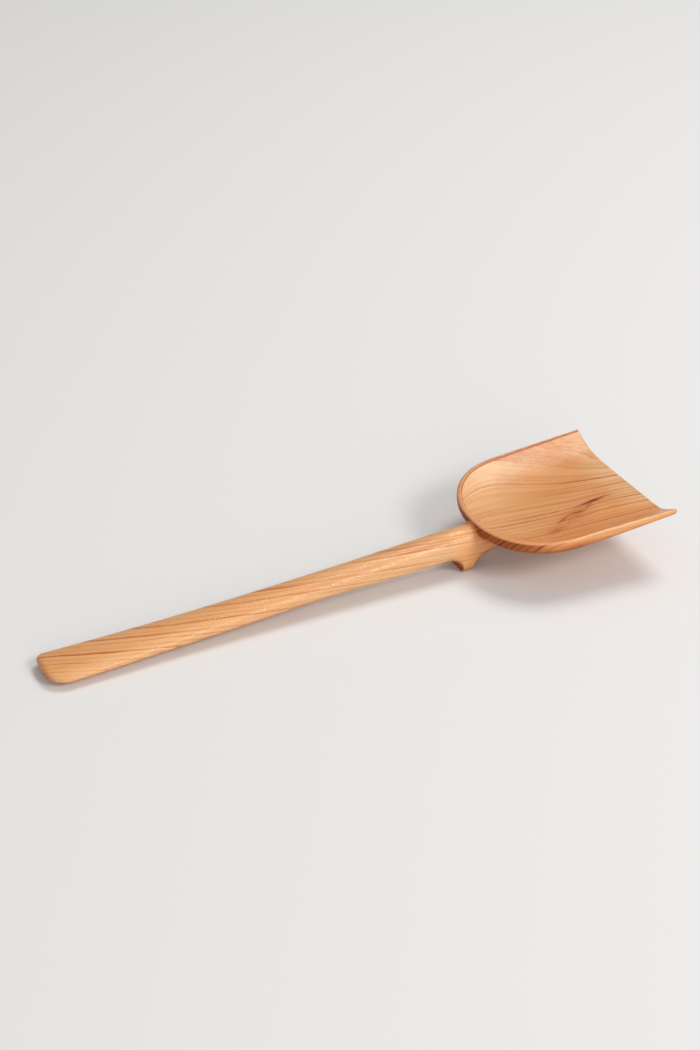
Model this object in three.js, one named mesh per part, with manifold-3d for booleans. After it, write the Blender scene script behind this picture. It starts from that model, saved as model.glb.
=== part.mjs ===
// Carved wooden spoon spatula: handle, neck, rest foot and scoop are one piece of hardwood.
// Millimetres, +Z up. It lies as it rests on a table, on its foot and on the end of its handle.
// X runs from the handle's end to the front edge, Y across, and the origin is below the middle.
import * as THREE from "three";
import { mergeVertices } from "three/addons/utils/BufferGeometryUtils.js";
import Module from "manifold-3d";

// Overall sizes
const LENGTH = 320; // handle end to front edge
const HEAD_LENGTH = 91; // back of the rim to front edge
const HEAD_WIDTH = 91.8; // across the rim where its round back ends
const FRONT_WIDTH = 95.4; // across the front edge
const BACK_ROUNDING = 39.7; // length of the rim's round back
const BACK_FULLNESS = 2.24; // power of that rounding's curve, 2 is an ellipse

// Rim
const RIM_FRONT_HEIGHT = 33.2; // front edge's ends above the table, before the head's lean
const RIM_RISE = 5.4; // how far the head tilts up over its length
const RIM_DIP = 2.4; // extra drop of the rim above the neck
const RIM_DIP_REACH = 16; // length over which that drop fades
const RIM_BACK_WIDTH = 2.9; // wall across its top at the back
const RIM_FRONT_WIDTH = 1.6; // and at the front corners
const RIM_ROUND = 0.8; // softened edges of the rim
const HEAD_LEAN = THREE.MathUtils.degToRad(1); // the carved head hangs a little to its left

// Scoop
const SCOOP_DEPTH = 8.4; // rim to floor in the middle of the head
const SCOOP_FRONT_DEPTH = 7.4; // rim to floor at the front edge
const SCOOP_POWER = 3.2; // the floor's turn up into the back wall, larger is tighter
const BEVEL_WIDTH = 12; // sloping sides of the floor at the front edge
const BEVEL_ROUND = 2.5; // softness of the crease where they start

// Underside of the scoop
const FLOOR_THICKNESS = 3.4; // in the middle of the head
const EDGE_THICKNESS = 1.8; // at the front edge
const THINNING_POWER = 1.5; // how late the floor thins towards that edge
const UNDERSIDE_BACK_POWER = 3.2; // squareness of the outer wall, 2 is an ellipse
const UNDERSIDE_FRONT_POWER = 2.5;

// Handle and neck, at the handle's end, at thirds of the way and at the head
const HANDLE_WIDTHS = [26.8, 20.2, 16.3, 15.2];
const HANDLE_TOPS = [7.2, 12.2, 17.5, 22.8];
const HANDLE_EDGES = [4.6, 7.2, 11.4, 14.9]; // heights of its widest line
const HANDLE_BOTTOMS = [0, 1.7, 5.6, 8.2];
const END_LEFT_CORNER = 5.5; // corner radii of the handle's end, seen from above
const END_RIGHT_CORNER = 12;
const END_CORNER_LIMIT = 0.9; // largest share of half the end's width that a corner takes
const END_ROUND = 4; // rounding of the end's upper edge
const END_LOWER_ROUND = 11; // and of its lower edge
const END_THINNEST = 0.3; // share of the thickness left where those roundings end
const HANDLE_POWER = 2; // section of the handle, 2 is an ellipse
const NECK_POWER = 4; // squareness of the neck's lower half
const NECK_LENGTH = 70; // over which the handle's round lower half turns square

// Foot below the neck
const FOOT_SETBACK = 2.4; // rim's back to the front of the foot's tip
const FOOT_LENGTH = 5.5; // flat of the tip
const FOOT_BACK_RADIUS = 8.4; // hollow between handle and foot
const FOOT_FRONT_RADIUS = 13; // hollow between foot and scoop
const FOOT_FRONT_SLOPE = THREE.MathUtils.degToRad(70); // where that hollow leaves the tip
const FOOT_POWER = 5; // squareness of its section
const FOOT_DRESSING = 0.5; // taken off the tip to leave it flat

// Keel that carries the neck into the underside of the scoop
const KEEL_LENGTH = 36; // past the rim's back
const KEEL_END_WIDTH = 5;
const KEEL_BURIAL = 1; // how far its end lies inside the scoop's floor
const KEEL_SWEEP = 1.5; // power of its lower edge's curve, 1 is straight

// Finish
const WOOD_COLOUR = 0xd9a06b;
const WOOD_ROUGHNESS = 0.5;

// Facets
const RING_POINTS = 28;
const ROUNDING_STEPS = 14;
const SIDE_STEPS = 10;
const WALL_STEPS = 9;
const WALL_CROWDING = 1.6; // draws these steps towards the rim, 1 is even
const ARC_STEPS = 6;
const CORNER_STEPS = 9;
const HANDLE_STEPS = 24;
const KEEL_STEPS = 5;
const MERGE_DISTANCE = 1e-4;

const HEAD_BACK = LENGTH - HEAD_LENGTH;
const ROUNDING_END = HEAD_BACK + BACK_ROUNDING;
const OVERCUT = 10; // how far cutting solids reach past what they cut

const wasm = await Module();
wasm.setup();

const mix = (a, b, t) => a + (b - a) * t;
const ease = (t) => THREE.MathUtils.smoothstep(t, 0, 1);
const forward = (x) => Math.max(0, (x - ROUNDING_END) / (LENGTH - ROUNDING_END));

// A closed list of triangles as a solid, without the ones that merging collapses
function solidOf(positions, faces) {
  const geometry = new THREE.BufferGeometry();
  geometry.setAttribute("position", new THREE.Float32BufferAttribute(positions, 3));
  geometry.setIndex(faces);
  const merged = mergeVertices(geometry, MERGE_DISTANCE);
  const corners = merged.index.array;
  const kept = [];
  for (let i = 0; i < corners.length; i += 3) {
    const triangle = corners.slice(i, i + 3);
    if (new Set(triangle).size === 3) kept.push(...triangle);
  }
  return new wasm.Manifold(
    new wasm.Mesh({
      numProp: 3,
      vertProperties: merged.attributes.position.array,
      triVerts: new Uint32Array(kept),
    }),
  );
}

// Strips of two triangles between neighbouring rows of points
function stitch(faces, row, next, count, closed) {
  const last = closed ? count : count - 1;
  for (let j = 0; j < last; j++) {
    const k = (j + 1) % count;
    faces.push(row + j, next + k, next + j);
    faces.push(row + j, row + k, next + k);
  }
}

// The rim tilts up towards the front and dips over the neck
function rimHeight(x) {
  const tilted = RIM_FRONT_HEIGHT - (RIM_RISE * (LENGTH - x)) / HEAD_LENGTH;
  return tilted - RIM_DIP * Math.exp((HEAD_BACK - x) / RIM_DIP_REACH);
}

const rimWidth = (x) => mix(RIM_BACK_WIDTH, RIM_FRONT_WIDTH, (x - HEAD_BACK) / HEAD_LENGTH);
const scoopDepth = (x) => mix(SCOOP_DEPTH, SCOOP_FRONT_DEPTH, ease(forward(x)));
const floorThickness = (x) => mix(FLOOR_THICKNESS, EDGE_THICKNESS, forward(x) ** THINNING_POWER);
const undersideHeight = (x) => rimHeight(x) - scoopDepth(x) - floorThickness(x);

// One side of the rim seen from above, from the front round to the middle of the back
function rimSide(front) {
  const flare = (FRONT_WIDTH - HEAD_WIDTH) / 2 / (LENGTH - ROUNDING_END);
  const side = [];
  for (let i = 0; i < SIDE_STEPS; i++) {
    const x = mix(front, ROUNDING_END, i / SIDE_STEPS);
    side.push([x, HEAD_WIDTH / 2 + flare * (x - ROUNDING_END)]);
  }
  for (let i = 0; i <= ROUNDING_STEPS; i++) {
    const angle = (Math.PI / 2) * (i / ROUNDING_STEPS);
    const along = Math.sin(angle) ** (2 / BACK_FULLNESS);
    const across = i < ROUNDING_STEPS ? Math.cos(angle) ** (2 / BACK_FULLNESS) : 0;
    side.push([ROUNDING_END - BACK_ROUNDING * along, (HEAD_WIDTH / 2) * across]);
  }
  return side;
}

// The whole rim, with the point on the head's spine that each cross curve runs to
function rimPoints(front) {
  const side = rimSide(front);
  const near = side.map(([x, y]) => [x, -y]);
  const far = side.slice(0, -1).reverse();
  return [...near, ...far].map(([x, y]) => {
    const spine = Math.max(x, ROUNDING_END);
    return { x, y, spine, reach: Math.hypot(x - spine, y) };
  });
}

// A point at a share of the way out along a cross curve, leaning with the head
function onCurve(p, share, height) {
  const x = mix(p.spine, p.x, share);
  const y = p.y * share;
  return [x, y, height(x) - y * Math.tan(HEAD_LEAN)];
}

// That share at a distance in from the rim
const inset = (p, distance) => 1 - distance / p.reach;

// Cross curves joined into a closed solid: each runs from the lid's spine over the rim to the floor's
function scoopSolid(front, crossCurve) {
  const rows = rimPoints(front).map(crossCurve);
  const count = rows[0].length;
  const faces = [];
  for (let i = 0; i + 1 < rows.length; i++) {
    stitch(faces, (i + 1) * count, i * count, count, false);
  }
  const far = (rows.length - 1) * count;
  for (let j = 0; j + 2 < count; j++) {
    faces.push(count - 1, j, j + 1);
    faces.push(far + count - 1, far + j + 1, far + j);
  }
  return solidOf(rows.flat(2), faces);
}

// Outer body of the head: lid, softened rim edge, wall and underside
function outerCurve(p) {
  const soft = (x) => rimHeight(x) - RIM_ROUND;
  const power = mix(UNDERSIDE_BACK_POWER, UNDERSIDE_FRONT_POWER, forward(p.x) ** 2);
  const curve = [onCurve(p, 0, rimHeight), onCurve(p, inset(p, RIM_BACK_WIDTH + RIM_ROUND), rimHeight)];
  curve.push(onCurve(p, inset(p, RIM_ROUND), rimHeight));
  for (let j = 0; j <= WALL_STEPS; j++) {
    const turn = (Math.PI / 2) * (j / WALL_STEPS);
    const share = j < WALL_STEPS ? Math.cos(turn) ** (2 / power) : 0;
    const drop = Math.sin(turn) ** (2 / power);
    curve.push(onCurve(p, share, (x) => mix(soft(x), undersideHeight(x), drop)));
  }
  return curve;
}

// Share of the way up from floor to rim: a bowl's curve at the back, bevelled sides at the front
function hollowRise(p, wall, share) {
  const ramp = (t) => t + Math.hypot(t, BEVEL_ROUND);
  const inward = (1 - share) * wall * p.reach;
  const bevel = ramp(BEVEL_WIDTH - inward) / ramp(BEVEL_WIDTH);
  return mix(share ** SCOOP_POWER, bevel, ease(forward(p.x)));
}

// The hollow that is cut out of it, open upwards and past the front edge
function hollowCurve(p) {
  const mouth = (x) => rimHeight(x) + OVERCUT;
  const soft = (x) => rimHeight(x) - RIM_ROUND;
  const floor = (x) => rimHeight(x) - scoopDepth(x);
  const wall = inset(p, rimWidth(p.x));
  const lip = inset(p, rimWidth(p.x) - RIM_ROUND);
  const curve = [onCurve(p, 0, mouth), onCurve(p, lip, mouth), onCurve(p, lip, rimHeight)];
  for (let j = 0; j <= WALL_STEPS; j++) {
    const share = 1 - (j / WALL_STEPS) ** WALL_CROWDING;
    curve.push(onCurve(p, wall * share, (x) => mix(floor(x), soft(x), hollowRise(p, wall, share))));
  }
  return curve;
}

// A smooth curve through the handle's four sizes, at a distance along it
function alongHandle(sizes, x) {
  const points = sizes.map((size, i) => new THREE.Vector2((HEAD_BACK * i) / (sizes.length - 1), size));
  return new THREE.SplineCurve(points).getPoint(THREE.MathUtils.clamp(x / HEAD_BACK, 0, 1)).y;
}

const FOOT_TIP_FRONT = HEAD_BACK - FOOT_SETBACK;
const FOOT_TIP_BACK = FOOT_TIP_FRONT - FOOT_LENGTH;
const NOTCH = FOOT_TIP_BACK - FOOT_BACK_RADIUS;
const HOLLOW_END = FOOT_TIP_FRONT + FOOT_FRONT_RADIUS * Math.sin(FOOT_FRONT_SLOPE);
const KEEL_END = HEAD_BACK + KEEL_LENGTH;

// Lower edge of handle, foot and keel, as stations from the handle's end to the keel's end
function undersideStations() {
  const stations = [];
  const notchHeight = alongHandle(HANDLE_BOTTOMS, NOTCH);
  const corner = Math.max(END_LEFT_CORNER, END_RIGHT_CORNER);
  for (let i = 0; i <= CORNER_STEPS; i++) {
    const x = corner * (1 - Math.cos((Math.PI / 2) * (i / CORNER_STEPS)));
    stations.push([x, alongHandle(HANDLE_BOTTOMS, x)]);
  }
  for (let i = 1; i < HANDLE_STEPS; i++) {
    const x = mix(corner, NOTCH, i / HANDLE_STEPS);
    stations.push([x, alongHandle(HANDLE_BOTTOMS, x)]);
  }
  for (let i = 0; i <= ARC_STEPS; i++) {
    const angle = (Math.PI / 2) * (i / ARC_STEPS);
    const x = NOTCH + FOOT_BACK_RADIUS * Math.sin(angle);
    stations.push([x, mix(-FOOT_DRESSING, notchHeight, Math.cos(angle))]);
  }
  const rise = FOOT_FRONT_RADIUS * (1 - Math.cos(FOOT_FRONT_SLOPE)) - FOOT_DRESSING;
  for (let i = 0; i <= ARC_STEPS; i++) {
    const angle = FOOT_FRONT_SLOPE * (1 - i / ARC_STEPS);
    const x = HOLLOW_END - FOOT_FRONT_RADIUS * Math.sin(angle);
    stations.push([x, rise - FOOT_FRONT_RADIUS * (1 - Math.cos(angle))]);
  }
  const buried = undersideHeight(KEEL_END) + KEEL_BURIAL;
  for (let i = 1; i <= KEEL_STEPS; i++) {
    const share = i / KEEL_STEPS;
    stations.push([mix(HOLLOW_END, KEEL_END, share), mix(rise, buried, share ** KEEL_SWEEP)]);
  }
  return stations;
}

// How far a round of this radius draws a surface in, at a distance from where it starts
function roundOff(radius, distance) {
  const short = THREE.MathUtils.clamp(radius - distance, 0, radius);
  return radius - Math.sqrt(radius ** 2 - short ** 2);
}

// Share of the handle's thickness that such a round leaves near its end
const thinning = (radius, x) => 1 - ((1 - END_THINNEST) * roundOff(radius, x)) / radius;

// Half width of the bar: the handle's, rounded off at its end, and the keel's taper
function halfWidth(x, corner) {
  const radius = Math.min(corner, (END_CORNER_LIMIT * HANDLE_WIDTHS[0]) / 2);
  const handle = alongHandle(HANDLE_WIDTHS, x) / 2 - roundOff(radius, x);
  return mix(handle, KEEL_END_WIDTH / 2, ease((x - HEAD_BACK) / KEEL_LENGTH));
}

// Squareness of the bar's lower half: round on the handle, square at the foot, round again at the keel
function lowerPower(x) {
  const neck = mix(HANDLE_POWER, NECK_POWER, ease((x - NOTCH) / NECK_LENGTH + 1));
  const foot = mix(neck, FOOT_POWER, ease((x - NOTCH) / FOOT_BACK_RADIUS));
  return mix(foot, HANDLE_POWER, ease((x - HOLLOW_END) / (KEEL_END - HOLLOW_END)));
}

// Handle, neck, foot and keel: rings across X, each an upper and a lower half about its widest line
function barSolid() {
  const positions = [];
  const faces = [];
  const stations = undersideStations();
  for (const [x, bottom] of stations) {
    const top = alongHandle(HANDLE_TOPS, x);
    const widest = Math.max(alongHandle(HANDLE_EDGES, x), (top + bottom) / 2);
    const upper = { power: HANDLE_POWER, height: top, thin: thinning(END_ROUND, x) };
    const lower = { power: lowerPower(x), height: bottom, thin: thinning(END_LOWER_ROUND, x) };
    for (let k = 0; k < RING_POINTS; k++) {
      const angle = (2 * Math.PI * (k + 0.5)) / RING_POINTS;
      const half = Math.sin(angle) > 0 ? upper : lower;
      const side = Math.sign(Math.cos(angle));
      const width = side * halfWidth(x, side > 0 ? END_LEFT_CORNER : END_RIGHT_CORNER);
      const across = Math.abs(Math.cos(angle)) ** (2 / half.power);
      const away = Math.abs(Math.sin(angle)) ** (2 / half.power) * half.thin;
      positions.push(x, width * across, mix(widest, half.height, away));
    }
  }
  for (let i = 0; i + 1 < stations.length; i++) {
    stitch(faces, i * RING_POINTS, (i + 1) * RING_POINTS, RING_POINTS, true);
  }
  const end = (stations.length - 1) * RING_POINTS;
  for (let k = 1; k + 1 < RING_POINTS; k++) {
    faces.push(0, k + 1, k);
    faces.push(end, end + k, end + k + 1);
  }
  return solidOf(positions, faces);
}

// Everything below the table's plane
function belowTable() {
  const block = new THREE.BoxGeometry(2 * LENGTH, 2 * FRONT_WIDTH, OVERCUT);
  block.translate(0, 0, -OVERCUT / 2);
  block.deleteAttribute("normal");
  block.deleteAttribute("uv");
  const merged = mergeVertices(block);
  return solidOf([...merged.attributes.position.array], [...merged.index.array]);
}

function spatulaGeometry() {
  const body = scoopSolid(LENGTH, outerCurve).add(barSolid());
  const carved = body.subtract(scoopSolid(LENGTH + OVERCUT, hollowCurve)).subtract(belowTable());
  const mesh = carved.getMesh();
  const geometry = new THREE.BufferGeometry();
  geometry.setAttribute("position", new THREE.BufferAttribute(mesh.vertProperties, 3));
  geometry.setIndex(new THREE.BufferAttribute(mesh.triVerts, 1));
  return geometry;
}

const wood = new THREE.MeshStandardMaterial({ color: WOOD_COLOUR, roughness: WOOD_ROUGHNESS, metalness: 0 });
const spatula = new THREE.Mesh(spatulaGeometry(), wood);
spatula.name = "spoon_spatula";
spatula.position.x = -LENGTH / 2;

const part = new THREE.Group();
part.add(spatula);

export default part;
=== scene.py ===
"""Looks of the wooden spoon spatula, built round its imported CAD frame.

The spatula is one carved piece, so it is one smooth skin: signed distances to its scoop and its handle
are blended, cut and rounded as the carver's knife does, and the skin is drawn round the result.
"""
import math

import bpy
import numpy as np
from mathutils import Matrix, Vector


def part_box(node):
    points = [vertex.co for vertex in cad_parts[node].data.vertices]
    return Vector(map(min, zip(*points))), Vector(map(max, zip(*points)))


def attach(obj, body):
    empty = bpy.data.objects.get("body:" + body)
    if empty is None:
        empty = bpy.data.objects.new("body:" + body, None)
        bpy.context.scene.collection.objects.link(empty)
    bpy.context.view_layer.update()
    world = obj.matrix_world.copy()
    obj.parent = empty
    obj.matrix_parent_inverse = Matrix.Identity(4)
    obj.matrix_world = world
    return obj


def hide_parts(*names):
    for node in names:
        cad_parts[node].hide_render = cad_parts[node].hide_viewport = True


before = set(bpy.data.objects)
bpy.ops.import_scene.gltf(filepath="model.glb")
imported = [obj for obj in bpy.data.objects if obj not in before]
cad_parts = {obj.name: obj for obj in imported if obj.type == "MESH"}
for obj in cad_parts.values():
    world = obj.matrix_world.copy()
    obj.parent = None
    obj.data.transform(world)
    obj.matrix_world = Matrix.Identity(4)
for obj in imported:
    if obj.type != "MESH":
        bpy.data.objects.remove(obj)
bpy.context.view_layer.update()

MM = 0.001
NODE = "spoon_spatula"
low, high = (np.array(corner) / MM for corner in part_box(NODE))

# Shape in millimetres, measured from the handle's end. These follow the CAD part.
LENGTH, FRONT_WIDTH = high[0] - low[0], high[1] - low[1]
HEAD_LENGTH, HEAD_WIDTH = 91.0, 91.8
BACK_ROUNDING, BACK_FULLNESS = 39.7, 2.24
RIM_FRONT_HEIGHT, RIM_RISE = 33.2, 5.4
RIM_DIP, RIM_DIP_REACH = 2.4, 16.0
RIM_WIDTHS = (2.9, 1.6)  # at the back and at the front corners
HEAD_LEAN = math.radians(1)
SCOOP_DEPTHS = (8.4, 7.4)  # in the middle of the head and at the front edge
SCOOP_POWER, BEVEL_WIDTH = 3.2, 12.0
FLOOR_THICKNESSES, THINNING_POWER = (3.4, 1.8), 1.5
UNDERSIDE_POWERS = (3.2, 2.5)
HANDLE_WIDTHS = (26.8, 20.2, 16.3, 15.2)  # at its end, at thirds of the way and at the head
HANDLE_TOPS = (7.2, 12.2, 17.5, 22.8)
HANDLE_EDGES = (4.6, 7.2, 11.4, 14.9)
HANDLE_BOTTOMS = (0.0, 1.7, 5.6, 8.2)
HANDLE_POWER, NECK_POWER, NECK_LENGTH = 2.0, 4.0, 70.0
END_CORNERS = (5.5, 12.0)  # left and right, looking to the front
END_ROUND, END_LOWER_ROUND, END_THINNEST = 4.0, 11.0, 0.3
FOOT_SETBACK, FOOT_LENGTH, FOOT_POWER, FOOT_DRESSING = 2.4, 5.5, 5.0, 0.5
FOOT_BACK_RADIUS, FOOT_FRONT_RADIUS, FOOT_FRONT_SLOPE = 8.4, 13.0, math.radians(70)
KEEL_LENGTH, KEEL_END_WIDTH, KEEL_BURIAL, KEEL_SWEEP = 36.0, 5.0, 1.0, 1.5

# Softness that carving and sanding leave
BEVEL_ROUNDS = (2.5, 6.0)  # between floor and bevel, on the near side and on the softer far side
BEVEL_CHANGE = 40.0  # width over which the one turns into the other
RIM_ROUND = 0.8  # height over which the wall meets the rim
OUTER_ROUNDS = (0.9, 1.7)  # outer edge of the rim, and where it is worn on the near side
WEAR_START, WEAR_LENGTH, WEAR_WIDTH = 16.0, 35.0, 10.0  # the wear sets in from the head's back and spine
EDGE_ROUND = 0.4  # inner edge of the rim, and the front
END_SOFT = 1.8  # handle's end
TIP_ROUND = 0.4  # foot
NECK_FILLET = 2.6

HEAD_BACK = LENGTH - HEAD_LENGTH
ROUNDING_END = HEAD_BACK + BACK_ROUNDING
FOOT_TIP_FRONT = HEAD_BACK - FOOT_SETBACK
FOOT_TIP_BACK = FOOT_TIP_FRONT - FOOT_LENGTH
NOTCH = FOOT_TIP_BACK - FOOT_BACK_RADIUS
HOLLOW_END = FOOT_TIP_FRONT + FOOT_FRONT_RADIUS * math.sin(FOOT_FRONT_SLOPE)
KEEL_END = HEAD_BACK + KEEL_LENGTH

# Skin
GRID = 0.62  # millimetres between its points
MARGIN = 2.4  # grid steps round the piece; sets where the grid meets the thin front edge
BLOCK = 4  # grid steps in a coarse block
BAND = 2.6  # how near to the skin a block is looked at closely
PROBE = 0.02  # step for slopes
PULL_ROUNDS, RELAX_ROUNDS, RELAX_SHARE = 2, 3, 0.5
LEAST_SLOPE, LEAST_SQUARED_SLOPE, LEAST_SHARE = 1e-4, 0.1, 1e-6  # what is divided by is no less


def mix(a, b, t):
    return a + (b - a) * t


def ease(t):
    t = np.clip(t, 0, 1)
    return t * t * (3 - 2 * t)


def slope(function, p):
    """Gradient of a function of points, as an array like the points."""
    here = function(p)
    return np.stack([function(p + step) - here for step in PROBE * np.eye(3)], -1) / PROBE


def distance(function, p):
    """About how far points are from where a function is zero."""
    return function(p) / np.maximum(np.linalg.norm(slope(function, p), axis=-1), LEAST_SLOPE)


def round_max(a, b, radius):
    """What two distances have in common, with its edge rounded."""
    over = np.hypot(np.maximum(a + radius, 0), np.maximum(b + radius, 0))
    return np.minimum(np.maximum(a, b), -radius) + over


def fillet_min(a, b, width):
    """Both of two distances, with a fillet in the corner between them."""
    near = np.maximum(width - np.abs(a - b), 0) / width
    return np.minimum(a, b) - near * near * width / 4


# Scoop

def forward(x):
    return np.clip((x - ROUNDING_END) / (LENGTH - ROUNDING_END), 0, 1)


def rim_height(x):
    x = np.maximum(x, HEAD_BACK - RIM_WIDTHS[0])
    tilted = RIM_FRONT_HEIGHT - RIM_RISE * (LENGTH - x) / HEAD_LENGTH
    return tilted - RIM_DIP * np.exp((HEAD_BACK - x) / RIM_DIP_REACH)


def rim_width(x):
    return mix(*RIM_WIDTHS, (x - HEAD_BACK) / HEAD_LENGTH)


def scoop_depth(x):
    return mix(*SCOOP_DEPTHS, ease(forward(x)))


def underside_height(x):
    return rim_height(x) - scoop_depth(x) - mix(*FLOOR_THICKNESSES, forward(x) ** THINNING_POWER)


def rim_share(x, y):
    """How far out from the head's spine a point is, as a share of the way to the rim."""
    flare = (FRONT_WIDTH - HEAD_WIDTH) / 2 / (LENGTH - ROUNDING_END)
    across = np.abs(y) / (HEAD_WIDTH / 2 + flare * np.maximum(x - ROUNDING_END, 0))
    back = np.maximum(ROUNDING_END - x, 0) / BACK_ROUNDING
    return (across**BACK_FULLNESS + back**BACK_FULLNESS) ** (1 / BACK_FULLNESS)


def rim_reach(x, y):
    """Distance from the spine to the rim through a point."""
    out = np.hypot(np.minimum(x - ROUNDING_END, 0), y)
    return np.maximum(out / np.maximum(rim_share(x, y), LEAST_SHARE), BACK_ROUNDING / 2)


def levelled(p):
    """Points as they would be if the head didn't lean."""
    return p + p[..., 1:2] * (0, 0, math.tan(HEAD_LEAN))


def head_gauge(p):
    x, y, z = p[..., 0], p[..., 1], p[..., 2]
    soft = rim_height(x) - RIM_ROUND
    depth = np.maximum(soft - z, 0) / (soft - underside_height(x))
    power = mix(*UNDERSIDE_POWERS, forward(x) ** 2)
    return (rim_share(x, y) ** power + depth**power) ** (1 / power) - 1


def above_floor(p):
    """Height above the scoop's inner surface, which runs on upwards past the rim."""
    x, y, z = p[..., 0], p[..., 1], p[..., 2]
    share, reach = rim_share(x, y), rim_reach(x, y)
    wall = 1 - rim_width(x) / reach
    inward = BEVEL_WIDTH - (wall - share) * reach
    soft = mix(*BEVEL_ROUNDS, ease(y / BEVEL_CHANGE + 0.5))
    bevel = (inward + np.hypot(inward, soft)) / (BEVEL_WIDTH + np.hypot(BEVEL_WIDTH, soft))
    rise = mix((share / wall) ** SCOOP_POWER, bevel, ease(forward(x)))
    depth = scoop_depth(x)
    return z - (rim_height(x) - depth + (depth - RIM_ROUND) * rise)


def inside_lip(p):
    """Distance in from the line where the hollow meets the rim's top."""
    x, y = p[..., 0], p[..., 1]
    return (1 - rim_share(x, y)) * rim_reach(x, y) - rim_width(x) + EDGE_ROUND


# Handle, neck, foot and keel

def along_handle(sizes, x):
    """A smooth curve through the handle's sizes."""
    sizes = np.array(sizes)
    slopes = np.gradient(sizes)
    slopes[[0, -1]] /= 2
    t = np.clip(x / HEAD_BACK, 0, 1) * (len(sizes) - 1)
    i = np.minimum(t.astype(int), len(sizes) - 2)
    s = t - i
    ends = mix(sizes[i], sizes[i + 1], ease(s))
    return ends + s * (1 - s) * ((1 - s) * slopes[i] - s * slopes[i + 1])


def bar_bottom(x):
    """Lower edge: handle, hollow behind the foot, its tip, hollow before it, and keel."""
    notch_height = along_handle(HANDLE_BOTTOMS, np.array(NOTCH))
    back = np.clip((x - NOTCH) / FOOT_BACK_RADIUS, 0, 1)
    back = mix(-FOOT_DRESSING, notch_height, np.sqrt(1 - back**2))
    rise = FOOT_FRONT_RADIUS * (1 - math.cos(FOOT_FRONT_SLOPE)) - FOOT_DRESSING
    front = np.clip((HOLLOW_END - x) / FOOT_FRONT_RADIUS, 0, math.sin(FOOT_FRONT_SLOPE))
    front = rise - FOOT_FRONT_RADIUS * (1 - np.sqrt(1 - front**2))
    share = np.clip((x - HOLLOW_END) / (KEEL_END - HOLLOW_END), 0, 1)
    keel = mix(rise, underside_height(KEEL_END) + KEEL_BURIAL, share**KEEL_SWEEP)
    ends = [x < NOTCH, x < FOOT_TIP_FRONT, x < HOLLOW_END]
    return np.select(ends, [along_handle(HANDLE_BOTTOMS, x), back, front], keel)


def round_off(radius, x):
    short = np.clip(radius - x, 0, radius)
    return radius - np.sqrt(radius**2 - short**2)


def thinning(radius, x):
    return 1 - (1 - END_THINNEST) * round_off(radius, x) / radius


def bar_gauge(p):
    x, y, z = p[..., 0], p[..., 1], p[..., 2]
    top, bottom = along_handle(HANDLE_TOPS, x), bar_bottom(x)
    widest = np.maximum(along_handle(HANDLE_EDGES, x), (top + bottom) / 2)
    corner = np.where(y > 0, *(round_off(radius, x) for radius in END_CORNERS))
    half_width = along_handle(HANDLE_WIDTHS, x) / 2 - corner
    half_width = mix(half_width, KEEL_END_WIDTH / 2, ease((x - HEAD_BACK) / KEEL_LENGTH))
    neck = mix(HANDLE_POWER, NECK_POWER, ease((x - NOTCH) / NECK_LENGTH + 1))
    foot = mix(neck, FOOT_POWER, ease((x - NOTCH) / FOOT_BACK_RADIUS))
    lower = mix(foot, HANDLE_POWER, ease((x - HOLLOW_END) / (KEEL_END - HOLLOW_END)))
    upper_half = z > widest
    power = np.where(upper_half, HANDLE_POWER, lower)
    upward = (z - widest) / ((top - widest) * thinning(END_ROUND, x))
    downward = (widest - z) / ((widest - bottom) * thinning(END_LOWER_ROUND, x))
    height = np.where(upper_half, upward, downward)
    return ((np.abs(y) / half_width) ** power + height**power) ** (1 / power) - 1


def spatula(p):
    """Signed distance to the carved piece, negative inside the wood."""
    x, z = p[..., 0], p[..., 2]
    head = levelled(p)
    bar = round_max(distance(bar_gauge, p), -x, END_SOFT)
    bar = np.maximum(bar, x - KEEL_END)
    body = fillet_min(distance(head_gauge, head), bar, NECK_FILLET)
    worn = ease((x - HEAD_BACK - WEAR_START) / WEAR_LENGTH) * ease(-p[..., 1] / WEAR_WIDTH)
    body = round_max(body, head[..., 2] - rim_height(x), mix(*OUTER_ROUNDS, worn))
    hollow = np.minimum(distance(above_floor, head), inside_lip(head))
    body = round_max(body, hollow, EDGE_ROUND)
    body = round_max(body, x - LENGTH, EDGE_ROUND)
    return round_max(body, -z, TIP_ROUND)


def sample_grid(field, lowest, highest):
    """Field values on a grid, coarse where the skin is far away."""
    size = BLOCK * GRID
    blocks = np.ceil((highest - lowest) / size).astype(int)
    centres = np.stack(np.meshgrid(*(np.arange(n) for n in blocks), indexing="ij"), -1)
    coarse = field(lowest + (centres + 0.5 - 0.5 / BLOCK) * size)

    def spread(a):
        return a.repeat(BLOCK, 0).repeat(BLOCK, 1).repeat(BLOCK, 2)

    values = spread(coarse)
    near = np.argwhere(spread(np.abs(coarse) < BAND))
    values[tuple(near.T)] = field(lowest + near * GRID)
    return values


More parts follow.
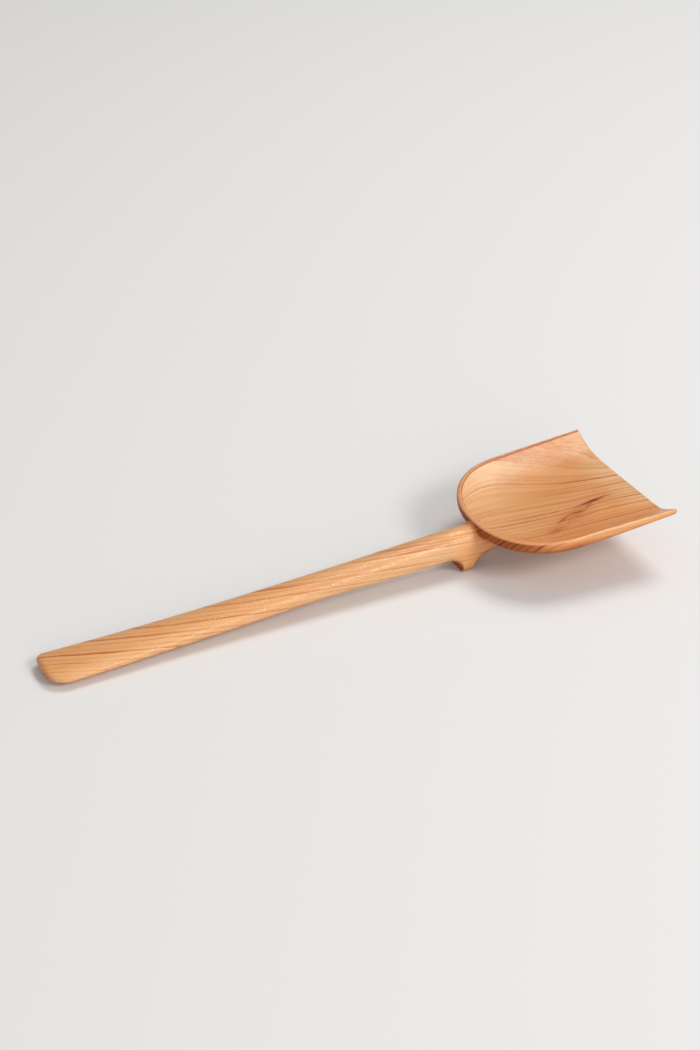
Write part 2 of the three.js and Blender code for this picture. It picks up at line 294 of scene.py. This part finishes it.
def skin_of(field, lowest, highest):
    """Points and quads of the surface where the field is zero: one point in each cell it crosses."""
    values = sample_grid(field, lowest, highest)
    inside = values < 0
    cells = tuple(n - 1 for n in values.shape)
    total, count, quads = np.zeros((*cells, 3)), np.zeros(cells), []
    for axis in range(3):
        step = np.eye(3, dtype=int)[axis]
        sides = np.roll(np.eye(3, dtype=int), -axis, 0)[1:]
        first = inside[tuple(slice(0, n - s) for n, s in zip(inside.shape, step))]
        second = inside[tuple(slice(s, None) for s in step)]
        starts = np.argwhere(first != second)
        a, b = values[tuple(starts.T)], values[tuple((starts + step).T)]
        crossing = starts + step * (a / (a - b))[:, None]
        ring = [starts - sides[0] - sides[1], starts - sides[1], starts, starts - sides[0]]
        for cell in ring:
            np.add.at(total, tuple(cell.T), crossing)
            np.add.at(count, tuple(cell.T), 1)
        quad = np.stack([np.ravel_multi_index(tuple(c.T), cells) for c in ring], -1)
        quads.append(np.where((a < 0)[:, None], quad, quad[:, ::-1]))
    used = np.flatnonzero(count)
    number = np.zeros(count.size, int)
    number[used] = np.arange(len(used))
    points = total.reshape(-1, 3)[used] / count.ravel()[used, None]
    return lowest + points * GRID, number[np.concatenate(quads)]


def onto(field, points):
    """Points moved along the slope to where the field is zero."""
    for _ in range(PULL_ROUNDS):
        s = slope(field, points)
        squared = np.maximum((s * s).sum(-1), LEAST_SQUARED_SLOPE)
        points = points - s * (field(points) / squared)[:, None]
    return points


def relaxed(points, quads):
    """Points drawn to the middle of their neighbours, so that the quads are even."""
    total, count = np.zeros_like(points), np.zeros(len(points))
    for a, b in ((0, 1), (1, 2), (2, 3), (3, 0)):
        np.add.at(total, quads[:, a], points[quads[:, b]])
        np.add.at(total, quads[:, b], points[quads[:, a]])
        np.add.at(count, quads[:, a], 1)
        np.add.at(count, quads[:, b], 1)
    return mix(points, total / count[:, None], RELAX_SHARE)


# Wood: rings round a pith that lies above the far side and swings away over the handle's end
PITH_ACROSS, PITH_SWING, PITH_REACH = 26.0, 37.6, 116.0
PITH_HEIGHTS = (80.7, 64.9)  # over the handle's end and over the front edge
CORNER_REACH = 2.6  # how far the painted shade in the corner between neck and scoop spreads
SLACK = 1.0  # room left behind the head and under the scoop's floor


def grain_of(points):
    """Where points are in the tree: along it, and across and above from its pith."""
    x, y, z = points.T
    across = y - PITH_ACROSS - PITH_SWING * np.exp(-x / PITH_REACH)
    return np.stack([x, across, z - mix(*PITH_HEIGHTS, x / LENGTH)], -1)


def end_grain_of(points, normals):
    """How squarely the surface cuts the fibres."""
    bend = -PITH_SWING / PITH_REACH * np.exp(-points[:, 0] / PITH_REACH)
    climb = np.full_like(bend, (PITH_HEIGHTS[1] - PITH_HEIGHTS[0]) / LENGTH)
    fibre = np.stack([np.ones_like(bend), bend, climb], -1)
    return np.abs((normals * fibre).sum(-1)) / np.linalg.norm(fibre, axis=-1)


def rim_place_of(points):
    """How far points lie inside the rim's inner edge and below its top; the handle counts as far inside."""
    head = levelled(points)
    inward = np.where(head[:, 0] > HEAD_BACK - SLACK, inside_lip(head), FRONT_WIDTH)
    return np.stack([inward, rim_height(head[:, 0]) - head[:, 2], np.zeros(len(points))], -1)


def corner_shade_of(points):
    """Mask of the painted shade: one in the corner between neck and scoop, fading over CORNER_REACH."""
    head = levelled(points)
    apart = np.maximum(distance(head_gauge, head), distance(bar_gauge, points))
    outside = (apart > -CORNER_REACH / 4) & ((above_floor(head) < -SLACK) | (points[:, 0] < HEAD_BACK))
    return np.where(outside, np.exp(-np.maximum(apart, 0) / CORNER_REACH), 0)


def add_attribute(mesh, name, values):
    data = mesh.attributes.new(name, "FLOAT_VECTOR", "POINT").data
    data.foreach_set("vector", values.ravel())


def spatula_object():
    margin = MARGIN * GRID
    origin = np.array([low[0], 0, low[2]])
    points, quads = skin_of(spatula, low - origin - margin, high - origin + margin)
    for _ in range(RELAX_ROUNDS):
        points = onto(spatula, relaxed(points, quads))
    points = np.clip(points, low - origin, high - origin)
    mesh = bpy.data.meshes.new("carved_spatula")
    mesh.from_pydata((points + origin) * MM, [], quads)
    mesh.shade_smooth()
    normals = np.zeros(points.size)
    mesh.vertex_normals.foreach_get("vector", normals)
    normals = normals.reshape(-1, 3)
    lie = np.stack([end_grain_of(points, normals), corner_shade_of(points), -normals[:, 2]], -1)
    add_attribute(mesh, "grain", grain_of(points))
    add_attribute(mesh, "rim_place", rim_place_of(points))
    add_attribute(mesh, "lie", lie)
    piece = bpy.data.objects.new("carved_spatula", mesh)
    bpy.context.scene.collection.objects.link(piece)
    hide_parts(NODE)
    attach(piece, "root")
    return piece


def linear(*rgb):
    """A screen colour, 0 to 255, as the renderer takes it."""
    return [((c / 255 + 0.055) / 1.055) ** 2.4 for c in rgb] + [1]


# Wood colours
EARLY_WOOD = linear(231, 180, 125)
LATE_WOOD = linear(184, 96, 44)
ROSY_WOOD = linear(212, 144, 82)
# Painted light: a paler tone laid where highlights and sheen fall, and where the head's shadow is lifted
# off the neck
PAINTED_LIGHT_WOOD = linear(233, 196, 147)
WARM_WOOD = linear(240, 147, 66)
# Painted shade: the darker brown laid on faces that look down, under the head and neck
UNDERSIDE_SHADE = linear(142, 66, 8)
END_GRAIN = linear(174, 90, 20)
END_LINES = linear(106, 22, 0)
RIM_TOP = linear(228, 154, 106)
FAR_RIM = linear(196, 112, 66)
RIM_LINE = linear(168, 86, 48)
# Painted shade for the corner between neck and scoop and for the hollow behind the foot
CORNER_SHADE = linear(158, 64, 14)
KNOT = linear(172, 76, 30)
DARK_STREAK = linear(92, 28, 2)
# Painted shade along the crease at the foot of the near wall's bevel
CREASE_SHADE = linear(160, 104, 68)

# Marks in the scoop: place from the handle's end and across, half length, half width and turn in degrees
KNOT_LINE = ((273.7, -15.3), 9, 1.2, 25)
KNOT_HEART = ((283.5, -13.4), 7, 2.2, -8)
KNOT_TAIL = ((291, -11.2), 5, 2, 30)
KNOT_BLUSH = ((279, -16), 20, 8, 12)
KNOT_PATCH = ((264.5, -23.5), 9, 4.5, 15)
SWELL = ((303, -13), 34, 14, 0)
# Painted sheen: a patch on the far back of the scoop where ring lines are faded, as a highlight washes them
# out
FAR_SHEEN = ((260, 24), 58, 28, 0)
DARK_LINE = ((268, -5.8), 30, 0.9, -9.5)
DARK_HEART = ((295, -8.2), 14, 1.4, 2)
DARK_HALO = ((294, -8.6), 17, 3.2, 2)
# Painted shade along the near wall's bevel crease, near the front corner
CREASE_SHADE_LINE = ((306, -37), 14, 1.1, 0)
NICK_BACK = ((232.3, -0.9), 2, 1, 60)
NICK_SIDE = ((245.7, -26.5), 2.4, 1, -40)

# Which marks take which colour, and how strongly
KNOT_MARKS = (
    (KNOT_BLUSH, 0.5), (KNOT_PATCH, 0.7), (KNOT_HEART, 1.0),
    (KNOT_TAIL, 0.6), (KNOT_LINE, 0.9), (DARK_HALO, 0.6),
)
CREASE_SHADE_MARKS = ((CREASE_SHADE_LINE, 0.6),)
DARK_MARKS = ((DARK_LINE, 0.45), (DARK_HEART, 1.0), (NICK_BACK, 0.6), (NICK_SIDE, 0.6))
MARK_WAVE = ((0.16, 0.9, 0.9), 1.8)  # swings a millimetre, and how far they push the marks aside
KNOT_FINE, KNOT_PLAIN = 1.4, 0.85

# Zones of the wood, along from the handle's end or across: from where each starts to where it is full
GRIP = (170, 100)
NECK_BACK, NECK_FRONT = (100, 170), (HEAD_BACK + 6, HEAD_BACK - 6)
# JOINT is the neck just behind the head, where painted light lifts the head's shadow
JOINT_BACK, JOINT_FRONT = (HEAD_BACK - 18, HEAD_BACK - 8), (HEAD_BACK + 3, HEAD_BACK - 2)
HEAD = (HEAD_BACK - 12, HEAD_BACK + 8)
# FLANK is the handle's near flank, where a highlight is painted
FLANK, FLANK_FRONT = (-4, -10), (HEAD_BACK, HEAD_BACK - 20)

MIX_FACTOR, MIX_FIRST, MIX_SECOND, MIX_RESULT = 0, 6, 7, 2  # colour sockets of a mix node


class Shade:
    """A number in a material's nodes that can be reckoned with."""

    def __init__(self, socket):
        self.socket, self.tree = socket, socket.id_data

    def math(self, operation, *others):
        made = self.tree.nodes.new("ShaderNodeMath")
        made.operation = operation
        for place, value in zip(made.inputs, (self, *others)):
            plug(place, value)
        return Shade(made.outputs[0])

    def __add__(self, other):
        return self.math("ADD", other)

    def __sub__(self, other):
        return self.math("SUBTRACT", other)

    def __mul__(self, other):
        return self.math("MULTIPLY", other)

    def __pow__(self, power):
        return self.math("POWER", power)

    def part(self):
        return self.math("FRACT")

    def whole(self):
        return self.math("FLOOR")

    def between(self, none, full):
        """A number that goes from one value to another as this one goes from nought to one."""
        return self * (full - none) + none

    def rise(self, start, end):
        """Nought below start, one above end, and smooth between; falling where start is above end."""
        made = self.tree.nodes.new("ShaderNodeMapRange")
        made.interpolation_type = "SMOOTHSTEP"
        plug(made.inputs["Value"], self)
        plug(made.inputs["From Min"], min(start, end))
        plug(made.inputs["From Max"], max(start, end))
        plug(made.inputs["To Min"], float(start > end))
        plug(made.inputs["To Max"], float(start < end))
        return Shade(made.outputs["Result"])


def plug(place, value):
    """Put a number, a colour or another node's output into a socket."""
    if isinstance(value, Shade):
        value = value.socket
    if isinstance(value, bpy.types.NodeSocket):
        place.id_data.links.new(value, place)
    else:
        place.default_value = value


def attribute(tree, name):
    made = tree.nodes.new("ShaderNodeAttribute")
    made.attribute_name = name
    return made.outputs["Vector"]


def scaled(vector, scale):
    made = vector.id_data.nodes.new("ShaderNodeVectorMath")
    made.operation = "MULTIPLY"
    plug(made.inputs[0], vector)
    plug(made.inputs[1], scale)
    return made.outputs["Vector"]


def length(vector):
    made = vector.id_data.nodes.new("ShaderNodeVectorMath")
    made.operation = "LENGTH"
    plug(made.inputs[0], vector)
    return Shade(made.outputs["Value"])


def noise(vector, scale, detail=2.0):
    """Smooth noise about nought, with so many swings a millimetre each way."""
    made = vector.id_data.nodes.new("ShaderNodeTexNoise")
    plug(made.inputs["Vector"], scaled(vector, scale))
    plug(made.inputs["Scale"], 1.0)
    plug(made.inputs["Detail"], detail)
    return Shade(made.outputs["Fac"]) - 0.5


def wave(vector, scale, size):
    return noise(vector, scale) * size


def bands(along, count, swings, ring_swings):
    """Noise along the rings, with so many swings a millimetre along them and so many a ring across."""
    vector = along.tree.nodes.new("ShaderNodeCombineXYZ")
    plug(vector.inputs["X"], along * swings)
    plug(vector.inputs["Y"], count * ring_swings)
    return noise(vector.outputs["Vector"], (1, 1, 1))


def mark(place, centre, half_length, half_width, turn):
    """One in the middle of a long mark seen from above, fading to nought at its edge."""
    mapping = place.id_data.nodes.new("ShaderNodeMapping")
    mapping.vector_type = "TEXTURE"
    plug(mapping.inputs["Vector"], scaled(place, (1, 1, 0)))
    plug(mapping.inputs["Location"], (*centre, 0))
    plug(mapping.inputs["Rotation"], (0, 0, math.radians(turn)))
    plug(mapping.inputs["Scale"], (half_length, half_width, 1))
    return length(mapping.outputs["Vector"]).rise(1, 0)


def marks(place, chosen):
    """Several marks together, each with its strength."""
    first, *others = [mark(place, *shape) * strength for shape, strength in chosen]
    return sum(others, first)


def shifted(vector, *amounts):
    """A vector with a number added to each of its parts."""
    tree = vector.id_data
    added = tree.nodes.new("ShaderNodeCombineXYZ")
    for place, amount in zip(added.inputs, amounts):
        plug(place, amount)
    made = tree.nodes.new("ShaderNodeVectorMath")
    plug(made.inputs[0], vector)
    plug(made.inputs[1], added.outputs["Vector"])
    return made.outputs["Vector"]


def parts(vector):
    made = vector.id_data.nodes.new("ShaderNodeSeparateXYZ")
    plug(made.inputs["Vector"], vector)
    return [Shade(socket) for socket in made.outputs]


def blend(factor, first, second):
    made = factor.tree.nodes.new("ShaderNodeMix")
    made.data_type = "RGBA"
    for place, value in ((MIX_FACTOR, factor), (MIX_FIRST, first), (MIX_SECOND, second)):
        plug(made.inputs[place], value)
    return made.outputs[MIX_RESULT]


class Surface:
    """Where a spot of the wood lies and how it is cut, as numbers in the material's nodes."""

    def __init__(self, tree):
        self.grain = attribute(tree, "grain")
        self.along = parts(self.grain)[0]
        spot = scaled(tree.nodes.new("ShaderNodeTexCoord").outputs["Object"], [1 / MM] * 3)
        self.spot = shifted(spot, -low[0], wave(self.grain, *MARK_WAVE), 0)
        self.across = parts(self.spot)[1]
        self.inward, self.below, _ = parts(attribute(tree, "rim_place"))
        self.end, self.corner, self.down = parts(attribute(tree, "lie"))
        self.grip = self.along.rise(*GRIP)
        self.neck = self.along.rise(*NECK_BACK) * self.along.rise(*NECK_FRONT)
        self.joint = self.along.rise(*JOINT_BACK) * self.along.rise(*JOINT_FRONT)
        self.head = self.along.rise(*HEAD)
        self.flank = self.across.rise(*FLANK) * self.along.rise(*FLANK_FRONT)
        squarely = self.end.rise(*END_CUT) * self.down.rise(*END_SLOPE)
        self.squarely = squarely * self.along.rise(*END_HEAD).between(*END_HEAD_SHARES)


# Growth rings. A wave is given by its swings a millimetre along, across and above, and its size in rings.
RING_WIDTH, RING_SHIFT = 2.144, 0.18
INNER_RINGS, INNER_SHIFT, SWELL_SIZE = (21, 19), 0.28, 0.9
RING_WAVES = (((0.012, 0.08, 0.08), 0.5), ((0.07, 0.4, 0.4), 0.16))
KNOT_WAVE = ((0.1, 0.3, 0.3), 2.0)
GRIP_WAVE = ((0.035, 0.2, 0.2), 0.5)


def ring_count(at):
    """How many rings out from the pith a spot is, with the waves that growth leaves."""
    count = length(scaled(at.grain, (0, 1, 1))) * (1 / RING_WIDTH) - RING_SHIFT
    count = count - count.rise(*INNER_RINGS) * INNER_SHIFT + mark(at.spot, *SWELL) * SWELL_SIZE
    for ring_wave in RING_WAVES:
        count = count + wave(at.grain, *ring_wave)
    count = count + mark(at.spot, *KNOT_BLUSH) * wave(at.grain, *KNOT_WAVE)
    return count + at.grip * wave(at.grain, *GRIP_WAVE)


# Late wood: rings are strong or faint by turns, and each darkens outwards and ends in a line
TURN_STEP, TURN_START, TURN_POWER, TURN_LEAST = 0.41, 0.75, 3, 0.32
FAINT_RINGS, FAINT_STRENGTH = (17.4, 19.2), (0.25, 1.0)
FAR_SHEEN_EDGE, FAR_SHEEN_STRENGTH = (0, 0.6), (1.0, 0.25)
NECK_LOSS, GRIP_LOSS, FLANK_STRENGTH = 0.4, 0.25, (1.0, 0.75)
LINE_POWER, LINE_SIZE, LINE_END = 5, 0.95, (1.0, 0.94)
SHADE_POWER, SHADE_SIZES = 2, (0.4, 0.75)  # off and on the grip
PATCH_SCALE, PATCH_EDGES, PATCH_STRENGTH = (0.016, 0.1, 0.1), (-0.40909, 0.31818), (0.4, 1.2)


def late_wood(at, count, patchy):
    """How dark the late wood of its ring makes a spot."""
    strength = (count.whole() * TURN_STEP + TURN_START).part() ** TURN_POWER + TURN_LEAST
    strength = strength * count.rise(*FAINT_RINGS).between(*FAINT_STRENGTH)
    # Lines faded on the far back of the scoop: painted sheen
    strength = strength * mark(at.spot, *FAR_SHEEN).rise(*FAR_SHEEN_EDGE).between(*FAR_SHEEN_STRENGTH)
    strength = strength * (at.neck * -NECK_LOSS + at.grip * -GRIP_LOSS + 1.0)
    # Fainter lines on the handle's near flank: part of its painted highlight
    strength = strength * at.flank.between(*FLANK_STRENGTH) * patchy.between(*PATCH_STRENGTH)
    phase = count.part()
    shade = phase**SHADE_POWER * at.grip.between(*SHADE_SIZES)
    return (phase**LINE_POWER * LINE_SIZE + shade) * phase.rise(*LINE_END) * strength


# Finer lines: swings a millimetre along and a ring across, and their sizes
FINE_LINES, FINE_SIZES = (0.012, 6.0), (1.0, 2.2)  # off and on the neck
STREAKS, STREAK_SIZE, NECK_STREAKS, GRIP_STREAKS = (0.008, 3.2), 0.4, 0.6, 0.4
FLAMES, FLAME_SIZE = (0.01, 1.1), 0.7

# Fibres and rays: swings a millimetre along, across and above, and detail
FIBRES = ((0.08, 1.3, 1.3), 3.0)
RAYS, RAY_SIZES = ((0.9, 0.28, 0.28), 1.0), (1.0, 0.25)  # on the handle and on the head


class Lines:
    """Lines that the wood shows, as numbers in the material's nodes."""

    def __init__(self, at):
        count = ring_count(at)
        self.patchy = noise(at.grain, PATCH_SCALE).rise(*PATCH_EDGES)
        self.late = late_wood(at, count, self.patchy)
        self.fine = bands(at.along, count, *FINE_LINES) * at.neck.between(*FINE_SIZES)
        streak_size = at.neck * NECK_STREAKS + at.grip * GRIP_STREAKS + STREAK_SIZE
        self.streaks = bands(at.along, count, *STREAKS) * streak_size
        self.flames = bands(at.along, count, *FLAMES) * at.head * FLAME_SIZE
        self.fibre = noise(at.grain, *FIBRES)
        self.rays = noise(at.grain, *RAYS) * at.head.between(*RAY_SIZES)


# Plain wood, with painted light and painted shade: zones, and how far each colour comes through there
BROAD, BROAD_EDGES, BROAD_SHARE = ((0.01, 0.045, 0.045), 1.0), (-0.2, 0.3), 0.4
ROSY_NEAR, ROSY_NEAR_BACK, ROSY_NEAR_SHARE = (12, -30), (300, 262), 0.45
# ROSY_FLOOR is painted shade: the head rosier and darker towards the front, more so on the far side
ROSY_FLOOR, ROSY_FAR, ROSY_FLOOR_SHARES = (238, 285), (0, 16), (0.45, 0.65)
ROSY_FRONT, ROSY_FRONT_SIDE, ROSY_FRONT_SHARES = (303, 318), (22, 2), (1.0, 0.2)
# Painted highlight on the handle's near flank, painted light at the joint, painted sheen on the far back of
# the scoop and along its front edge, and a painted highlight on the near outer wall
PALE_FLANK, PALE_FLANK_SHARES, PALE_JOINT = (20, 140), (0.45, 0.65), 0.3
PALE_SLANT, PALE_FAR, PALE_FAR_SHARE = 0.3, (-54, -38), 0.6
PALE_FRONT, PALE_FRONT_NEAR = (300, 317), (-40, -20)
PALE_FRONT_FAR, PALE_FRONT_SHARES = (26, 44), (0.5, 0.3)
PALE_WALL, PALE_WALL_SIDE, PALE_WALL_FRONT, PALE_WALL_SHARE = (-0.5, -2.0), (0, -20), (255, 280), 0.4
# WARM_JOINT is painted light: warmer at the joint against the head's shadow
WARM_NEAR, WARM_NEAR_SHARE, WARM_GRIP, WARM_JOINT = (-4, -34), 0.4, 0.2, 0.3

# How far each kind of line darkens the wood, and where it is darker or lighter on the whole; lighter at the
# joint as painted light
LATE_TONE, FINE_TONE, FIBRE_TONE, RAY_TONE = 0.95, 0.8, 0.4, 0.12
PLAIN_TONE, GRIP_TONE, JOINT_TONE, TONE_EDGES = 0.12, -0.05, -0.16, (-0.2, 1.0)


def rosiness(at):
    near = at.across.rise(*ROSY_NEAR) * at.along.rise(*ROSY_NEAR_BACK) * ROSY_NEAR_SHARE
    # Painted shade: rosier towards the front of the head
    floor = at.along.rise(*ROSY_FLOOR) * at.across.rise(*ROSY_FAR).between(*ROSY_FLOOR_SHARES)
    front = at.along.rise(*ROSY_FRONT) * at.across.rise(*ROSY_FRONT_SIDE)
    return at.head * (near + floor) * front.between(*ROSY_FRONT_SHARES)


def painted_light(at):
    # Painted light: highlight on the handle's near flank, lifted shade at the joint, sheen on the far back
    # and along the front edge
    flank = at.flank * at.along.rise(*PALE_FLANK).between(*PALE_FLANK_SHARES)
    far = at.head * (at.across - at.along * PALE_SLANT).rise(*PALE_FAR) * PALE_FAR_SHARE
    front = at.along.rise(*PALE_FRONT) * at.across.rise(*PALE_FRONT_NEAR)
    front = front * at.across.rise(*PALE_FRONT_FAR).between(*PALE_FRONT_SHARES)
    return flank + at.joint * PALE_JOINT + far + front


def warmth(at):
    near = at.head * at.across.rise(*WARM_NEAR) * WARM_NEAR_SHARE
    # Warmer at the joint: painted light
    return near + at.grip * WARM_GRIP + at.joint * WARM_JOINT


def lateness(at, lines):
    tone = lines.late * LATE_TONE + lines.fine * FINE_TONE + lines.streaks + lines.flames
    tone = tone + lines.fibre * FIBRE_TONE + lines.rays * RAY_TONE + PLAIN_TONE
    # Lighter at the joint: painted light
    return (tone + at.grip * GRIP_TONE + at.joint * JOINT_TONE).rise(*TONE_EDGES)


def plain_wood(at, lines):
    broad = noise(at.grain, *BROAD).rise(*BROAD_EDGES) * BROAD_SHARE
    colour = blend(broad + rosiness(at), EARLY_WOOD, ROSY_WOOD)
    colour = blend(painted_light(at), colour, PAINTED_LIGHT_WOOD)
    colour = blend(warmth(at), colour, WARM_WOOD)
    # Painted highlight along the top of the near outer wall, towards the front
    wall = at.inward.rise(*PALE_WALL) * at.across.rise(*PALE_WALL_SIDE) * at.along.rise(*PALE_WALL_FRONT)
    colour = blend(wall * PALE_WALL_SHARE, colour, PAINTED_LIGHT_WOOD)
    return blend(lateness(at, lines), colour, LATE_WOOD)


# Outside of the head: painted shade on faces that look down, end grain, and painted shade in corners:
# zones, how far faces look down, and shares of the colours
BELLY_BACK, BELLY_FRONT, BELLY_SHARES = (HEAD_BACK - 30, HEAD_BACK + 8), (250, 285), (0.8, 0.35)
BELLY_SLOPE, BELLY_FLAT, BELLY_FLAT_SHARES = (-0.2, 0.6), (0.7, 0.97), (1.0, 0.1)
END_CUT, END_SLOPE = (0.3, 0.8), (-0.5, -0.15)
END_HEAD, END_HEAD_SHARES, END_SHARE = (100, 200), (0.4, 1.0), 0.9
END_LATE, END_FINE, END_PLAIN = 1.6, 1.2, 0.25
HOLLOW_BACK, HOLLOW_FRONT = (NOTCH - 10, NOTCH), (HEAD_BACK - 3, FOOT_TIP_FRONT - 8)
HOLLOW_SLOPE, HOLLOW_SHARE, CORNER_SHARE = (0.2, 0.7), 0.7, 0.6


def with_outside(colour, at, lines):
    # Painted shade on faces that look down, strongest towards the head's back and weaker on the flat
    # underside
    underside_shade = at.along.rise(*BELLY_BACK) * at.along.rise(*BELLY_FRONT).between(*BELLY_SHARES)
    underside_shade = underside_shade * at.down.rise(*BELLY_SLOPE) * at.down.rise(*BELLY_FLAT).between(*BELLY_FLAT_SHARES)
    colour = blend(underside_shade, colour, UNDERSIDE_SHADE)
    colour = blend(at.squarely * END_SHARE, colour, END_GRAIN)
    end_lines = at.squarely * (lines.late * END_LATE + lines.fine * END_FINE + END_PLAIN)
    colour = blend(end_lines, colour, END_LINES)
    # Painted shade: darker in the hollow behind the foot and in the corner between neck and scoop
    hollow = at.down.rise(*HOLLOW_SLOPE) * at.along.rise(*HOLLOW_BACK) * at.along.rise(*HOLLOW_FRONT)
    return blend(at.corner * CORNER_SHARE + hollow * HOLLOW_SHARE, colour, CORNER_SHADE)


# Rim: a rosier flat top, with a painted highlight on the near side towards the front, and a thin dark inner
# edge
RIM_INWARD, RIM_BELOW, RIM_SHARE = (0.3, -0.1), (0.7, 0.3), 0.7
RIM_FAR, RIM_NEAR, RIM_SHEEN, RIM_SHEEN_SHARE = (5, 40), (-28, -40), (245, 275), 0.6
RIM_LINE_OUTER, RIM_LINE_INNER, RIM_LINE_BELOW = (-0.25, 0.1), (0.6, 0.25), (1.2, 0.6)
RIM_LINE_SHARES = (0.4, 1.0)


def with_rim(colour, at, lines):
    rim = blend(at.across.rise(*RIM_FAR), RIM_TOP, FAR_RIM)
    # Painted highlight on the near rim, towards the front
    rim = blend(at.across.rise(*RIM_NEAR) * at.along.rise(*RIM_SHEEN) * RIM_SHEEN_SHARE, rim, PAINTED_LIGHT_WOOD)
    top = at.inward.rise(*RIM_INWARD) * at.below.rise(*RIM_BELOW)
    colour = blend(top * (lines.fine + RIM_SHARE), colour, rim)
    edge = at.inward.rise(*RIM_LINE_OUTER) * at.inward.rise(*RIM_LINE_INNER)
    edge = edge * at.below.rise(*RIM_LINE_BELOW) * lines.patchy.between(*RIM_LINE_SHARES)
    return blend(edge, colour, RIM_LINE)


def with_marks(colour, at, lines):
    knot = marks(at.spot, KNOT_MARKS) * (lines.fine * KNOT_FINE + KNOT_PLAIN)
    colour = blend(knot, colour, KNOT)
    # Painted shade along the near wall's bevel crease
    colour = blend(marks(at.spot, CREASE_SHADE_MARKS), colour, CREASE_SHADE)
    return blend(marks(at.spot, DARK_MARKS), colour, DARK_STREAK)


# Satin oil: glossier on late wood, duller on end grain and in corners
SPECULAR, ROUGHNESS, LATE_ROUGHNESS, FIBRE_ROUGHNESS = 0.36, 0.38, -0.1, 0.2
RAY_ROUGHNESS, HEAD_ROUGHNESS, END_ROUGHNESS, CORNER_ROUGHNESS = 0.6, -0.02, 0.25, 0.3
BUMP_STRENGTH, BUMP_DEPTH, LATE_HEIGHT, RAY_HEIGHT = 0.7, 0.06 * MM, 0.6, 2.2


def roughness(at, lines):
    rough = lines.fibre * FIBRE_ROUGHNESS + lines.rays * RAY_ROUGHNESS + lines.late * LATE_ROUGHNESS
    rough = rough + at.head * HEAD_ROUGHNESS + at.squarely * END_ROUGHNESS + at.corner * CORNER_ROUGHNESS
    return rough + ROUGHNESS


def wood_material():
    material = bpy.data.materials.new("oiled_wood")
    material.use_nodes = True
    tree = material.node_tree
    shader = tree.nodes["Principled BSDF"]
    at = Surface(tree)
    lines = Lines(at)
    colour = plain_wood(at, lines)
    for detailed in (with_outside, with_rim, with_marks):
        colour = detailed(colour, at, lines)
    bump = tree.nodes.new("ShaderNodeBump")
    plug(bump.inputs["Strength"], BUMP_STRENGTH)
    plug(bump.inputs["Distance"], BUMP_DEPTH)
    plug(bump.inputs["Height"], lines.fibre + lines.late * LATE_HEIGHT + lines.rays * RAY_HEIGHT)
    plug(shader.inputs["Base Color"], colour)
    plug(shader.inputs["Specular IOR Level"], SPECULAR)
    plug(shader.inputs["Roughness"], roughness(at, lines))
    plug(shader.inputs["Normal"], bump.outputs["Normal"])
    return material


# Photograph's camera
CAMERA_PLACE = Vector((-364.0, -744.8, 555.1)) * MM
CAMERA_TURN = [math.radians(a) for a in (58.22, 0, -26.071)]
SENSOR, FOCAL_PIXELS, FRAME_PIXELS = 36, 2000, 1050


def add_camera():
    data = bpy.data.cameras.new("camera")
    data.sensor_width = SENSOR
    data.lens = SENSOR * FOCAL_PIXELS / FRAME_PIXELS
    camera = bpy.data.objects.new("camera", data)
    camera.location = CAMERA_PLACE
    camera.rotation_euler = CAMERA_TURN
    bpy.context.scene.collection.objects.link(camera)
    bpy.context.scene.camera = camera


# Studio, in metres and watts
FLOOR_SIZE, FLOOR_DROP = 8.0, 0.0001
FLOOR_COLOUR, FLOOR_ROUGHNESS = (0.77, 0.76, 0.745, 1), 0.9
SKY_COLOUR, SKY_STRENGTH = (1, 1, 1, 1), 0.38
SOFTBOXES = {  # place, size and power
    "key": ((1.0, -1.76, 1.63), 0.9, 26),
    "side": ((1.1, 0.48, 2.08), 1.1, 24),
    "front": ((-0.5, -2.47, 0.65), 2.0, 25),
}


def add_floor():
    half = FLOOR_SIZE / 2
    corners = [(-half, -half, 0), (half, -half, 0), (half, half, 0), (-half, half, 0)]
    mesh = bpy.data.meshes.new("floor")
    mesh.from_pydata(corners, [], [(0, 1, 2, 3)])
    floor = bpy.data.objects.new("floor", mesh)
    floor.location.z = -FLOOR_DROP
    material = bpy.data.materials.new("pale_floor")
    material.use_nodes = True
    shader = material.node_tree.nodes["Principled BSDF"]
    plug(shader.inputs["Base Color"], FLOOR_COLOUR)
    plug(shader.inputs["Roughness"], FLOOR_ROUGHNESS)
    mesh.materials.append(material)
    bpy.context.scene.collection.objects.link(floor)


def add_sky():
    world = bpy.data.worlds.new("studio")
    world.use_nodes = True
    background = world.node_tree.nodes["Background"]
    plug(background.inputs["Color"], SKY_COLOUR)
    plug(background.inputs["Strength"], SKY_STRENGTH)
    bpy.context.scene.world = world


def add_softbox(name, place, size, power):
    """A round soft lamp that aims at the spatula."""
    data = bpy.data.lights.new(name, "AREA")
    data.shape = "DISK"
    data.size = size
    data.energy = power
    lamp = bpy.data.objects.new(name, data)
    lamp.location = place
    lamp.rotation_euler = (-Vector(place)).to_track_quat("-Z", "Y").to_euler()
    bpy.context.scene.collection.objects.link(lamp)


bpy.context.scene.view_settings.view_transform = "Standard"
spoon = spatula_object()
spoon.data.materials.append(wood_material())
add_camera()
add_floor()
add_sky()
for name, softbox in SOFTBOXES.items():
    add_softbox(name, *softbox)
